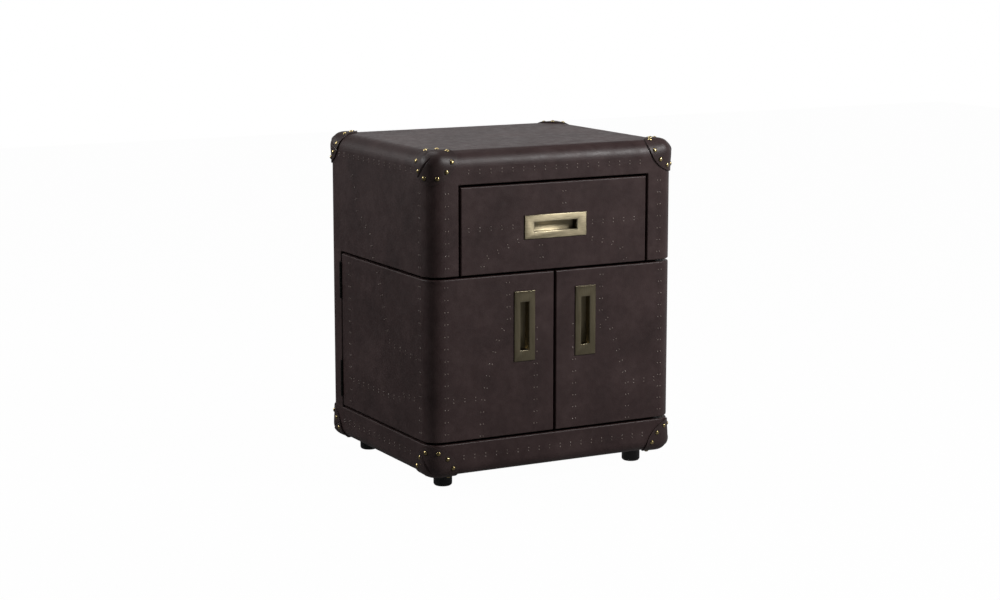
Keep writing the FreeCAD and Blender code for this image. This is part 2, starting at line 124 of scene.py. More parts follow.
def apply_modifiers(obj: bpy.types.Object) -> None:
    """Applies every modifier of an object, in order."""
    select_only(obj)
    for modifier in list(obj.modifiers):
        bpy.ops.object.modifier_apply(modifier=modifier.name)


def join(pieces: Sequence[bpy.types.Object], name: str) -> bpy.types.Object:
    """Joins several pieces into one object.

    Args:
        pieces: The objects to join, the first of which keeps its materials.
        name: The name of the joined object and its mesh.

    Returns:
        The joined object, with its place in its mesh.
    """
    deselect_all()
    for piece in pieces:
        piece.select_set(True)
    bpy.context.view_layer.objects.active = pieces[0]
    bpy.ops.object.join()
    joined = bpy.context.object
    joined.name = name
    joined.data.name = name
    apply_place(joined)
    return joined


def smooth(obj: bpy.types.Object, angle_deg: float = 35.0) -> None:
    """Shades an object smooth, except across edges sharper than the angle."""
    select_only(obj)
    bpy.ops.object.shade_smooth_by_angle(angle=math.radians(angle_deg))


def model_dome(radius: float, height: float, segments: int, rings: int, cut: float) -> bpy.types.Object:
    """Models a round head as the upper half of a flattened ball, looking up from the origin.

    Args:
        radius: The ball's radius.
        height: What its radius becomes upwards.
        segments: How many faces go round.
        rings: How many rings the whole ball has.
        cut: How far above its middle the ball is cut, before it is flattened.

    Returns:
        The head, closed underneath.
    """
    deselect_all()
    bpy.ops.mesh.primitive_uv_sphere_add(segments=segments, ring_count=rings, radius=radius)
    dome = bpy.context.object
    bpy.ops.object.mode_set(mode="EDIT")
    bpy.ops.mesh.select_all(action="SELECT")
    bpy.ops.mesh.bisect(plane_co=(0, 0, cut), plane_no=(0, 0, 1), clear_inner=True, use_fill=True)
    bpy.ops.mesh.select_all(action="SELECT")
    bpy.ops.transform.resize(value=(1, 1, height / radius), center_override=(0, 0, 0))
    bpy.ops.object.mode_set(mode="OBJECT")
    smooth(dome, HEAD_SMOOTHING_DEG)
    return dome


def copy_to(pattern: bpy.types.Object, places: Iterable[Matrix], name: str) -> bpy.types.Object:
    """Copies a piece to every place, joins the copies under a name and removes the pattern."""
    copies = []
    for place in places:
        piece = pattern.copy()
        piece.data = pattern.data.copy()
        bpy.context.collection.objects.link(piece)
        piece.matrix_world = place
        copies.append(piece)
    bpy.data.objects.remove(pattern)
    return join(copies, name)


def upright_on(out: Vector) -> Matrix:
    """The turn that makes a piece which looks up look along a normal."""
    return out.to_track_quat("Z", "Y").to_matrix().to_4x4()


def dress(obj: bpy.types.Object, material: bpy.types.Material) -> None:
    """Gives an object one material in every slot."""
    if not obj.data.materials:
        obj.data.materials.append(material)
    for index in range(len(obj.data.materials)):
        obj.data.materials[index] = material


# Finishes


class Nodes:
    """A short way to write a material's nodes and the links between them."""

    def __init__(self, name: str) -> None:
        """Makes a new material with only a principled shader and its output."""
        self.material = bpy.data.materials.new(name)
        self.material.use_nodes = True
        self.tree = self.material.node_tree
        self.tree.nodes.clear()
        self.output = self.tree.nodes.new("ShaderNodeOutputMaterial")
        self.shader = self.add("ShaderNodeBsdfPrincipled")
        self.link(self.shader.outputs[0], self.output.inputs["Surface"])
        self.place = self.add("ShaderNodeTexCoord").outputs["Object"]

    def add(self, kind: str, **settings: object) -> bpy.types.Node:
        """Adds a node of a kind and sets its own properties."""
        node = self.tree.nodes.new(kind)
        for key, value in settings.items():
            setattr(node, key, value)
        return node

    def link(self, source: bpy.types.NodeSocket, target: bpy.types.NodeSocket) -> None:
        """Links an output to an input."""
        self.tree.links.new(source, target)

    def stretched(self, stretch: Sequence[float]) -> bpy.types.NodeSocket:
        """The object's coordinates, scaled by a stretch along each axis."""
        mapping = self.add("ShaderNodeMapping")
        mapping.inputs["Scale"].default_value = stretch
        self.link(self.place, mapping.inputs["Vector"])
        return mapping.outputs[0]

    def noise(self, scale: float, detail: float = 4.0, roughness: float = 0.55,
              place: bpy.types.NodeSocket | None = None) -> bpy.types.NodeSocket:
        """A noise of so many waves to the metre."""
        node = self.add("ShaderNodeTexNoise")
        node.inputs["Scale"].default_value = scale
        node.inputs["Detail"].default_value = detail
        node.inputs["Roughness"].default_value = roughness
        self.link(place or self.place, node.inputs["Vector"])
        return node.outputs[0]

    def cells(self, scale: float) -> bpy.types.NodeSocket:
        """The distance in a field of cells of so many to the metre."""
        node = self.add("ShaderNodeTexVoronoi")
        node.inputs["Scale"].default_value = scale
        self.link(self.place, node.inputs["Vector"])
        return node.outputs["Distance"]

    def ramp(self, source: bpy.types.NodeSocket,
             stops: Sequence[tuple[float, Sequence[float]]]) -> bpy.types.NodeSocket:
        """A colour ramp over a value, from stops of a place and a colour."""
        node = self.add("ShaderNodeValToRGB")
        while len(node.color_ramp.elements) < len(stops):
            node.color_ramp.elements.new(0.5)
        for element, (spot, colour) in zip(node.color_ramp.elements, stops):
            element.position = spot
            element.color = (*colour, 1.0)
        self.link(source, node.inputs[0])
        return node.outputs[0]

    def span(self, source: bpy.types.NodeSocket, low: float, high: float,
             to_low: float, to_high: float) -> bpy.types.NodeSocket:
        """Maps a value from one span to another, clamped at both ends."""
        node = self.add("ShaderNodeMapRange")
        for index, value in zip(range(1, 5), (low, high, to_low, to_high)):
            node.inputs[index].default_value = value
        self.link(source, node.inputs[0])
        return node.outputs[0]

    def mix(self, share: bpy.types.NodeSocket | float, first: bpy.types.NodeSocket | Colour,
            second: bpy.types.NodeSocket | Colour) -> bpy.types.NodeSocket:
        """Mixes two colours by a share."""
        node = self.add("ShaderNodeMix", data_type="RGBA")
        for socket, value in ((node.inputs[0], share), (node.inputs[6], first), (node.inputs[7], second)):
            if isinstance(value, bpy.types.NodeSocket):
                self.link(value, socket)
            elif isinstance(value, tuple):
                socket.default_value = (*value, 1.0)
            else:
                socket.default_value = value
        return node.outputs[2]

    def sum(self, first: bpy.types.NodeSocket, second: bpy.types.NodeSocket,
            factor: float) -> bpy.types.NodeSocket:
        """Adds a share of a second value to a first one."""
        node = self.add("ShaderNodeMath", operation="MULTIPLY_ADD")
        self.link(second, node.inputs[0])
        node.inputs[1].default_value = factor
        self.link(first, node.inputs[2])
        return node.outputs[0]

    def edges(self, radius: float, low: float = 0.80, high: float = 0.999) -> bpy.types.NodeSocket:
        """A value that is 1 along worn edges within a radius and 0 on flat ground."""
        bevel = self.add("ShaderNodeBevel", samples=4)
        bevel.inputs["Radius"].default_value = radius
        surface = self.add("ShaderNodeNewGeometry")
        dot = self.add("ShaderNodeVectorMath", operation="DOT_PRODUCT")
        self.link(bevel.outputs[0], dot.inputs[0])
        self.link(surface.outputs["Normal"], dot.inputs[1])
        return self.span(dot.outputs["Value"], low, high, 1.0, 0.0)

    def bump(self, height: bpy.types.NodeSocket, strength: float, distance: float) -> None:
        """Feeds a height to the shader's normal, above any bump that is there."""
        node = self.add("ShaderNodeBump")
        node.inputs["Strength"].default_value = strength
        node.inputs["Distance"].default_value = distance
        self.link(height, node.inputs["Height"])
        normal = self.shader.inputs["Normal"]
        if normal.is_linked:
            self.link(normal.links[0].from_socket, node.inputs["Normal"])
        self.link(node.outputs[0], normal)

    def put(self, name: str, value: bpy.types.NodeSocket | float | Sequence[float]) -> None:
        """Sets or links one of the shader's inputs."""
        socket = self.shader.inputs[name]
        if isinstance(value, bpy.types.NodeSocket):
            self.link(value, socket)
        else:
            socket.default_value = value


@dataclass(frozen=True)
class LeatherFinish:
    """Dark hide: mottled colour, fine pebble, pores and a soft satin."""

    name: str
    colour: Colour
    light: Colour
    dark: Colour
    worn: Colour
    roughness: tuple[float, float] = (0.38, 0.54)
    pebbles_per_metre: float = 620.0
    wrinkles_per_metre: float = 190.0
    mottles_per_metre: float = 14.0
    grain_strength: float = 0.30
    specular: float = 0.26
    edge_radius: float = 2.2 * MM

    def material(self) -> bpy.types.Material:
        """Builds the finish's material."""
        n = Nodes(self.name)
        mottle = n.noise(self.mottles_per_metre, 6.0, 0.62)
        cloud = n.noise(self.mottles_per_metre * 5, 5.0, 0.6)
        tone = n.ramp(mottle, [(0.30, self.dark), (0.52, self.colour), (0.72, self.light)])
        speck = n.ramp(cloud, [(0.40, self.colour), (0.66, self.light)])
        tone = n.mix(0.28, tone, speck)
        tone = n.mix(n.span(n.edges(self.edge_radius), 0.0, 1.0, 0.0, 0.55), tone, self.worn)
        n.put("Base Color", tone)
        pebble = n.cells(self.pebbles_per_metre)
        wrinkle = n.noise(self.wrinkles_per_metre, 8.0, 0.7)
        n.put("Roughness", n.span(n.sum(cloud, wrinkle, 0.5), 0.5, 1.0, *self.roughness))
        n.put("Specular IOR Level", self.specular)
        n.bump(n.sum(pebble, wrinkle, 0.9), self.grain_strength, 0.35 * MM)
        n.bump(cloud, 0.25, 0.8 * MM)
        return n.material


@dataclass(frozen=True)
class BrassFinish:
    """Antique brass: brushed or polished, darker in patches of patina, lighter along its edges."""

    name: str
    grain: Grain | None
    colour: Colour = (0.27, 0.230, 0.150)
    patina: Colour = (0.15, 0.126, 0.078)
    worn: Colour = (0.50, 0.45, 0.33)
    roughness: tuple[float, float] = (0.28, 0.42)
    anisotropy: float = 0.85

    def material(self) -> bpy.types.Material:
        """Builds the finish's material."""
        n = Nodes(self.name)
        n.put("Metallic", 1.0)
        cloud = n.noise(22.0, 3.0, 0.5)
        if self.grain:
            brushed = n.noise(1500.0, 3.0, 0.65, n.stretched(self.grain.value))
        else:
            brushed = n.noise(700.0, 3.0, 0.5)
        tone = n.ramp(brushed, [(0.28, self.patina), (0.50, self.colour), (0.75, self.worn)])
        tone = n.mix(0.55, tone, self.colour)
        tone = n.mix(n.span(cloud, 0.42, 0.70, 0.0, 0.35), tone, self.patina)
        tone = n.mix(n.span(n.edges(0.9 * MM), 0.0, 1.0, 0.0, 0.8), tone, self.worn)
        n.put("Base Color", tone)
        n.put("Roughness", n.span(brushed, 0.3, 0.7, *self.roughness))
        n.bump(brushed, 0.10 if self.grain else 0.03, 0.08 * MM)
        if self.grain:
            tangent = n.add("ShaderNodeTangent", direction_type="UV_MAP")
            n.link(tangent.outputs[0], n.shader.inputs["Tangent"])
            n.put("Anisotropic", self.anisotropy)
            n.put("Anisotropic Rotation", 0.25 if self.grain is Grain.ALONG_X else 0.0)
        return n.material


@dataclass(frozen=True)
class WoodFinish:
    """Straight-grained board with rings, pores and a thin lacquer."""

    name: str
    early: Colour
    late: Colour
    grain: Grain
    roughness: tuple[float, float] = (0.38, 0.55)

    def material(self) -> bpy.types.Material:
        """Builds the finish's material."""
        n = Nodes(self.name)
        along = n.stretched(self.grain.value)
        rings = n.noise(38.0, 7.0, 0.6, along)
        pores = n.noise(900.0, 2.0, 0.5, along)
        tone = n.ramp(rings, [(0.34, self.late), (0.47, self.early), (0.56, self.late), (0.68, self.early)])
        tone = n.mix(n.span(pores, 0.55, 0.75, 0.0, 0.6), tone, self.late)
        n.put("Base Color", tone)
        n.put("Roughness", n.span(rings, 0.3, 0.7, *self.roughness))
        n.bump(n.sum(pores, rings, 0.6), 0.16, 0.2 * MM)
        return n.material


@dataclass(frozen=True)
class MetalFinish:
    """Plated or lacquered steel with faint rolling marks."""

    name: str
    colour: Colour
    worn: Colour
    metallic: float
    roughness: tuple[float, float]
    grain: Grain = Grain.ALONG_Y

    def material(self) -> bpy.types.Material:
        """Builds the finish's material."""
        n = Nodes(self.name)
        n.put("Metallic", self.metallic)
        marks = n.noise(700.0, 3.0, 0.6, n.stretched(self.grain.value))
        smear = n.noise(60.0, 5.0, 0.6)
        n.put("Base Color", n.mix(n.span(n.edges(0.6 * MM), 0.0, 1.0, 0.0, 0.6), self.colour, self.worn))
        n.put("Roughness", n.span(n.sum(smear, marks, 0.6), 0.5, 1.1, *self.roughness))
        n.bump(marks, 0.06, 0.1 * MM)
        return n.material


@dataclass(frozen=True)
class PlasticFinish:
    """Moulded plastic with a fine spark-eroded texture."""

    name: str
    colour: Colour
    scuffed: Colour
    roughness: tuple[float, float] = (0.34, 0.50)

    def material(self) -> bpy.types.Material:
        """Builds the finish's material."""
        n = Nodes(self.name)
        scuff = n.noise(120.0, 6.0, 0.7)
        spark = n.cells(1500.0)
        n.put("Base Color", n.mix(n.span(scuff, 0.55, 0.8, 0.0, 0.6), self.colour, self.scuffed))
        n.put("Roughness", n.span(scuff, 0.35, 0.7, *self.roughness))
        n.bump(spark, 0.12, 0.12 * MM)
        return n.material


CASE_LEATHER = LeatherFinish("case_leather", colour=(0.036, 0.0208, 0.0204), light=(0.055, 0.0345, 0.0335),
                             dark=(0.022, 0.0122, 0.0121), worn=(0.090, 0.061, 0.056))
CAP_LEATHER = LeatherFinish("cap_leather", colour=(0.033, 0.0200, 0.0193), light=(0.047, 0.0300, 0.0290),
                            dark=(0.020, 0.0122, 0.0120), worn=(0.090, 0.064, 0.059),
                            roughness=(0.40, 0.52), pebbles_per_metre=900.0, grain_strength=0.16,
                            edge_radius=0.9 * MM)
SEAM_LEATHER = LeatherFinish("seam_leather", colour=(0.040, 0.026, 0.025), light=(0.060, 0.041, 0.039),
                             dark=(0.026, 0.017, 0.016), worn=(0.07, 0.052, 0.049), roughness=(0.4, 0.5))
# Near-black leather for the flat rings round the cap nails: painted shade of the dimples that the nails press
# in.
DIMPLE_SHADE_LEATHER = LeatherFinish("dimple_painted_shade", colour=(0.012, 0.008, 0.008), light=(0.017, 0.012, 0.012),
                                dark=(0.008, 0.0055, 0.0055), worn=(0.03, 0.022, 0.021),
                                roughness=(0.5, 0.62))
# Studs of a lighter leather, made lighter still to show the glint they catch: partly their own colour, partly
# painted highlight.
STUD_LEATHER_AND_GLINT = LeatherFinish("stud_leather_and_glint", colour=(0.17, 0.135, 0.12), light=(0.24, 0.20, 0.18),
                               dark=(0.09, 0.07, 0.062), worn=(0.28, 0.24, 0.21), roughness=(0.20, 0.32),
                               edge_radius=0.4 * MM)
PULL_BRASS_FLAT = BrassFinish("pull_brass_flat", Grain.ALONG_X)
PULL_BRASS_UPRIGHT = BrassFinish("pull_brass_upright", Grain.ALONG_Z)
NAIL_BRASS = BrassFinish("nail_brass", None, colour=(0.56, 0.44, 0.20), patina=(0.24, 0.18, 0.07),
                         worn=(0.70, 0.58, 0.32), roughness=(0.24, 0.36))
DARK_WOOD = WoodFinish("dark_wood", early=(0.055, 0.030, 0.018), late=(0.026, 0.014, 0.009),
                       grain=Grain.ALONG_Z)
SHELF_WOOD = WoodFinish("shelf_wood", early=(0.060, 0.033, 0.020), late=(0.028, 0.015, 0.010),
                        grain=Grain.ALONG_X)
DRAWER_WOOD = WoodFinish("drawer_wood", early=(0.30, 0.185, 0.10), late=(0.18, 0.10, 0.052),
                         grain=Grain.ALONG_Y)
DRAWER_WOOD_ACROSS = WoodFinish("drawer_wood_across", early=(0.30, 0.185, 0.10), late=(0.18, 0.10, 0.052),
                                grain=Grain.ALONG_X)
HINGE_STEEL = MetalFinish("hinge_steel", (0.012, 0.011, 0.010), (0.10, 0.095, 0.09), 0.6, (0.30, 0.45),
                          Grain.ALONG_Z)
RUNNER_STEEL = MetalFinish("runner_steel", (0.52, 0.53, 0.54), (0.72, 0.72, 0.72), 1.0, (0.24, 0.40))
FOOT_PLASTIC = PlasticFinish("foot_plastic", (0.010, 0.011, 0.011), (0.022, 0.023, 0.023))
CATCH_PLASTIC = PlasticFinish("catch_plastic", (0.030, 0.018, 0.012), (0.05, 0.032, 0.024))


# The case's form, read from the frame


@dataclass
class CaseForm:
    """Where the faces of the case stand, and how its edges are rounded."""

    corner_radius: float = 32.0 * MM
    top_radius: float = 28.0 * MM
    base_radius: float = 20.0 * MM
    half_width: float = field(init=False)
    half_depth: float = field(init=False)
    top: float = field(init=False)
    bottom: float = field(init=False)

    def __post_init__(self) -> None:
        """Reads the outside faces from the leather nodes."""
        (_, _, _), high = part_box("upper_leather")
        low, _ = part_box("base_leather")
        self.half_width, self.half_depth, self.top = high
        self.bottom = low[2]

    def over_corner(self, insets: Sequence[float], corner_radius: float,
                    edge_radius: float) -> tuple[Vector, Vector]:
        """Lays a point of a sharp corner on the rounded one.

        Args:
            insets: The point's distances from the side, the front or rear, and the top or bottom.
            corner_radius: The radius of the upright edge.
            edge_radius: The radius of the edge round the top or the bottom.

        Returns:
            The point's distances from the three faces, and its outward normal in the same terms.
        """
        across, along, down = insets
        radius = corner_radius
        if across < radius and along < radius:
            reach = math.hypot(radius - across, radius - along)
            out = ((radius - across) / reach, (radius - along) / reach)
            outline = (radius * (1 - out[0]), radius * (1 - out[1]))
            depth = radius - reach
        elif across < along:
            out, outline, depth = (1.0, 0.0), (0.0, along), across
        else:
            out, outline, depth = (0.0, 1.0), (across, 0.0), along
        lift = 0.0
        if depth < edge_radius and down < edge_radius:
            reach = math.hypot(edge_radius - depth, edge_radius - down)
            share = (edge_radius - depth) / reach
            lift = (edge_radius - down) / reach
            depth, down = edge_radius * (1 - share), edge_radius * (1 - lift)
        elif down >= edge_radius:
            share, depth = 1.0, 0.0
        else:
            share, lift, down = 0.0, 1.0, 0.0
        spot = Vector((outline[0] + out[0] * depth, outline[1] + out[1] * depth, down))
        return spot, Vector((out[0] * share, out[1] * share, lift))


@dataclass(frozen=True)
class Corner:
    """One of the eight corners of the case."""

    name: str
    side_x: int
    side_y: int
    side_z: int

    @property
    def at_top(self) -> bool:
        """Whether the corner is one of the top four."""
        return self.side_z > 0


CORNERS = [Corner(f"{level}_cap_{place}_{side}", sx, sy, sz)
           for level, sz in (("top", 1), ("base", -1))
           for place, sy in (("front", -1), ("rear", 1))
           for side, sx in (("left", -1), ("right", 1))]


def ease(value: float) -> float:
    """A smooth step from 0 to 1."""
    value = min(1.0, max(0.0, value))
    return value * value * (3 - 2 * value)


@dataclass
class CornerCaps:
    """Leather caps folded over the eight corners, with a lapped fold on the side, and their nails."""

    form: CaseForm
    reach: float = 58.0 * MM
    leather: float = 2.2 * MM
    inner_lift: float = 0.35 * MM
    tip_corner_radius: float = 29.0 * MM
    tip_edge_radius: float = 24.0 * MM
    full_until: float = 22.0 * MM
    snug_from: float = 50.0 * MM
    puff: float = 0.5 * MM
    fold_front_deg: float = 38.0
    fold_rear_deg: float = 60.0
    fold_swing_deg: float = -8.0
    fold_step: float = 1.5 * MM
    fold_groove: float = 1.9 * MM
    fold_width: float = 1.1 * MM
    fold_onset: float = 9.0 * MM
    fold_fade: float = 9.0 * MM
    lap_raised_share: float = 0.75
    lap_sunk_share: float = 0.25
    fold_crowding: float = 1.6
    row_crowding: float = 0.9
    columns_per_face: int = 48
    rows: int = 30
    nail_ring: float = 49.0 * MM
    nail_angles_deg: tuple[float, ...] = (21.0, 45.0, 69.0)
    nail_radius: float = 3.9 * MM
    nail_height: float = 2.5 * MM
    nail_cut: float = 0.02 * MM
    dimple_gap: float = 0.5 * MM
    dimple_radius: float = 0.75 * MM
    dimple_flatness: float = 0.35
    rolled_edge: float = 0.55 * MM
    weld: float = 0.02 * MM

    def surface(self, corner: Corner, face: int, angle: float, distance: float) -> tuple[Vector, Vector]:
        """A point on the case under a cap, and the outward normal there, in metres of the frame.

        Args:
            corner: The corner that the cap covers.
            face: 0 for the front or rear, 1 for the top or bottom, 2 for the side.
            angle: The way round that face, from 0 to a quarter turn.
            distance: How far the point lies from the sharp corner.

        Returns:
            The point and its normal.
        """
        near, far = distance * math.cos(angle), distance * math.sin(angle)
        insets = [(far, 0.0, near), (near, far, 0.0), (0.0, near, far)][face]
        snug = ease((distance - self.full_until) / (self.snug_from - self.full_until))
        edge = self.form.top_radius if corner.at_top else self.form.base_radius
        tip_edge = min(self.tip_edge_radius, edge)
        corner_radius = self.tip_corner_radius + (self.form.corner_radius - self.tip_corner_radius) * snug
        edge_radius = tip_edge + (edge - tip_edge) * snug
        inset, out = self.form.over_corner(insets, corner_radius, edge_radius)
        level = self.form.top if corner.at_top else self.form.bottom
        point = Vector((corner.side_x * (self.form.half_width - inset.x),
                        corner.side_y * (self.form.half_depth - inset.y),
                        level - corner.side_z * inset.z))
        return point, Vector((corner.side_x * out.x, corner.side_y * out.y, corner.side_z * out.z))

    def fold_angle(self, corner: Corner, distance: float) -> float:
        """Where the lapped fold runs on the side face, as the way round at a distance from the tip."""
        end = self.fold_front_deg if corner.side_y < 0 else self.fold_rear_deg
        swing = self.fold_swing_deg * (1 - min(1.0, distance / self.reach)) ** 1.5
        return math.radians(90 - end - swing)

    def fold_height(self, corner: Corner, face: int, angle: float, distance: float) -> float:
        """How much the lapped fold raises or sinks the leather at a point of a cap."""
        if face != 2:
            return 0.0
        across = (angle - self.fold_angle(corner, distance)) * distance
        strength = ease(distance / self.fold_onset)
        groove = -self.fold_groove * math.exp(-((across / self.fold_width) ** 2))
        fade = math.exp(-abs(across) / self.fold_fade)
        lap = self.fold_step * fade * (-self.lap_sunk_share if across > 0 else self.lap_raised_share)
        return strength * (groove + lap)

    def columns(self, corner: Corner) -> list[tuple[int, Callable[[float], float]]]:
        """The face of each of a cap's columns, and its way round that face by distance from the tip."""
        quarter = math.radians(90)
        count = self.columns_per_face
        result = [(face, lambda _, share=index / count: quarter * share)
                  for face in (0, 1) for index in range(count)]

        def before(share: float) -> Callable[[float], float]:
            return lambda distance: self.fold_angle(corner, distance) * (1 - (1 - share) ** self.fold_crowding)

        def after(share: float) -> Callable[[float], float]:
            return lambda distance: quarter - (quarter - self.fold_angle(corner, distance)) * (
                1 - share ** self.fold_crowding)

        result += [(2, before(index / count)) for index in range(count)]
        result += [(2, after(index / count)) for index in range(count)]
        return result

    def build_cap(self, corner: Corner) -> bpy.types.Object:
        """Bends a grid over one corner and gives it the leather's thickness and a rolled edge."""
        columns = self.columns(corner)
        deselect_all()
        bpy.ops.mesh.primitive_grid_add(x_subdivisions=len(columns), y_subdivisions=self.rows, size=1)
        cap = bpy.context.object
        cap.name = corner.name + "_leather"
        cap.data.name = cap.name
        rows = self.rows + 1
        stride = len(columns) + 1
        for index, vertex in enumerate(cap.data.vertices):
            row, column = divmod(index, stride)
            face, way_round = columns[column % len(columns)]
            distance = self.reach * (row / (rows - 1)) ** self.row_crowding
            angle = way_round(distance)
            point, out = self.surface(corner, face, angle, distance)
            swell = self.puff * math.sin(math.pi * min(1.0, distance / self.reach)) ** 2
            height = self.leather + self.inner_lift + swell
            vertex.co = point + out * (height + self.fold_height(corner, face, angle, distance))
        select_only(cap)
        bpy.ops.object.mode_set(mode="EDIT")
        bpy.ops.mesh.select_all(action="SELECT")
        bpy.ops.mesh.remove_doubles(threshold=self.weld)
        bpy.ops.mesh.normals_make_consistent(inside=False)
        bpy.ops.object.mode_set(mode="OBJECT")
        self.face_outwards(cap)
        wall = cap.modifiers.new("wall", "SOLIDIFY")
        wall.thickness = self.leather
        wall.offset = -1
        rolled = cap.modifiers.new("rolled", "BEVEL")
        rolled.width = self.rolled_edge
        rolled.segments = 3
        rolled.limit_method = "ANGLE"
        rolled.angle_limit = math.radians(60)
        apply_modifiers(cap)
        smooth(cap, 50)
        return cap

    def face_outwards(self, cap: bpy.types.Object) -> None:
        """Turns a cap's faces over if they look towards the middle of the case."""
        face = max(cap.data.polygons, key=lambda polygon: polygon.area)
        middle = Vector((0, 0, (self.form.top + self.form.bottom) / 2))
        if face.normal.dot(face.center - middle) < 0:
            select_only(cap)
            bpy.ops.object.mode_set(mode="EDIT")
            bpy.ops.mesh.select_all(action="SELECT")
            bpy.ops.mesh.flip_normals()
            bpy.ops.object.mode_set(mode="OBJECT")

    def model_dimple(self) -> bpy.types.Object:
        """Models a flat ring round a nail, looking up from the origin; it is dressed in near-black leather as
        the painted shade of the dimple that the nail presses.
        """
        deselect_all()
        bpy.ops.mesh.primitive_torus_add(major_segments=24, minor_segments=8,
                                         major_radius=self.nail_radius + self.dimple_gap,
                                         minor_radius=self.dimple_radius)
        dimple = bpy.context.object
        bpy.ops.object.mode_set(mode="EDIT")
        bpy.ops.mesh.select_all(action="SELECT")
        bpy.ops.transform.resize(value=(1, 1, self.dimple_flatness), center_override=(0, 0, 0))
        bpy.ops.object.mode_set(mode="OBJECT")
        smooth(dimple, HEAD_SMOOTHING_DEG)
        return dimple

    def nail_places(self, at_top: bool) -> Iterable[Matrix]:
        """Every nail's place on the top or the base caps."""
        for corner in CORNERS:
            if corner.at_top != at_top:
                continue
            for face in range(3):
                for angle_deg in self.nail_angles_deg:
                    point, out = self.surface(corner, face, math.radians(angle_deg), self.nail_ring)
                    seat = point + out * (self.leather + self.inner_lift)
                    yield Matrix.Translation(seat) @ upright_on(out)

    def build(self) -> None:
        """Builds all caps and nails in place of the frame's plain ones."""
        leather = CAP_LEATHER.material()
        brass = NAIL_BRASS.material()
        for corner in CORNERS:
            cap = self.build_cap(corner)
            dress(cap, leather)
            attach(cap, Body.CARCASS.value)
            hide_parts(corner.name)
            LOG.info("%s: %d faces", cap.name, len(cap.data.polygons))
        # The flat rings round the nails carry painted shade of the dimples.
        dimple_shade = DIMPLE_SHADE_LEATHER.material()
        for at_top, node in ((True, "top_cap_nails"), (False, "base_cap_nails")):
            level = "top" if at_top else "base"
            dimples = copy_to(self.model_dimple(), self.nail_places(at_top), level + "_nail_dimple_shade")
            dress(dimples, dimple_shade)
            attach(dimples, Body.CARCASS.value)
            nail = model_dome(self.nail_radius, self.nail_height, 24, 14, self.nail_cut)
            nails = copy_to(nail, self.nail_places(at_top), level + "_nail_heads")
            dress(nails, brass)
            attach(nails, Body.CARCASS.value)
            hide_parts(node)
            LOG.info("%s: %d faces", nails.name, len(nails.data.polygons))


# Flush pulls


